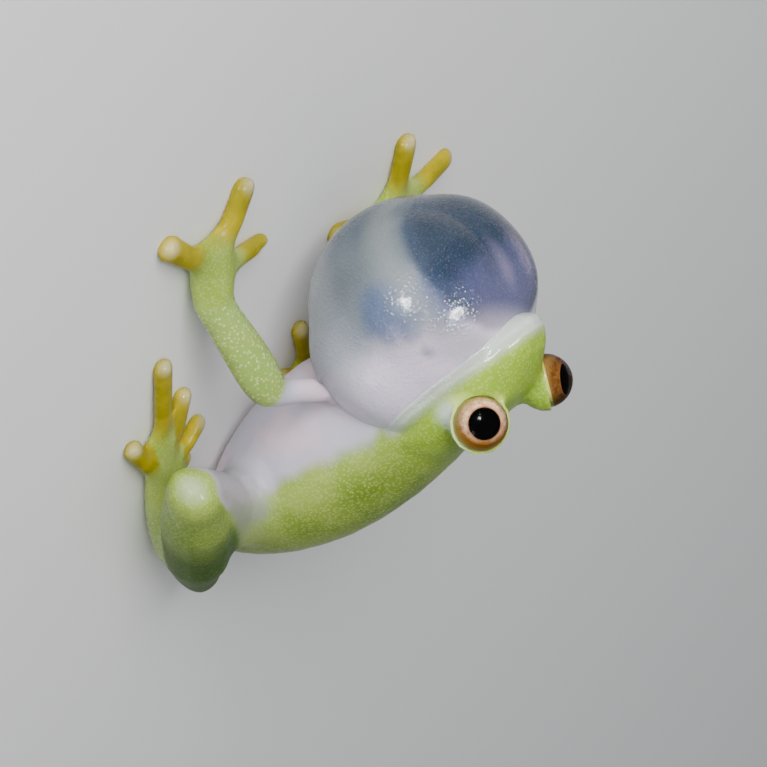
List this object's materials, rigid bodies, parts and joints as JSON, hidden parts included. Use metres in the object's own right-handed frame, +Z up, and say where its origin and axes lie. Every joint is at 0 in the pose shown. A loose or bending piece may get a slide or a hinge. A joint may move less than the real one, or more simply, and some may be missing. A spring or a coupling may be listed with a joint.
{
  "type": "calling male glass frog model",
  "caption": "Life-size still model of a small tree frog crouching with its throat sac blown up, eyes raised, fingers and toes spread.",
  "frame": {"origin": "on the floor, under the middle of the frog's bounding box", "axes": "+Z up from the floor, -Y towards the snout, +X towards the frog's left side"},
  "size_m": [0.029, 0.0274, 0.0151],
  "materials": {
    "skin": "moist, finely granular, yellow-green with pale dots",
    "pale_skin": "moist, see-through whitish skin",
    "digits": "moist yellow skin with whitish discs",
    "sac": "taut wet membrane, bluish white",
    "eye": "wet, clear cornea over a pinkish-gold iris"
  },
  "bodies": {
    "root": {"torso": "skin", "head": "skin", "eye_left": "eye", "eye_right": "eye", "vocal_sac": "sac", "upper_arm_left": "pale_skin", "forearm_left": "skin", "hand_left": "digits", "thigh_left": "skin", "shank_left": "skin", "tarsus_left": "skin", "foot_left": "digits", "upper_arm_right": "pale_skin", "forearm_right": "skin", "hand_right": "digits", "thigh_right": "skin", "shank_right": "skin", "tarsus_right": "skin", "foot_right": "digits"}
  },
  "joints": []
}
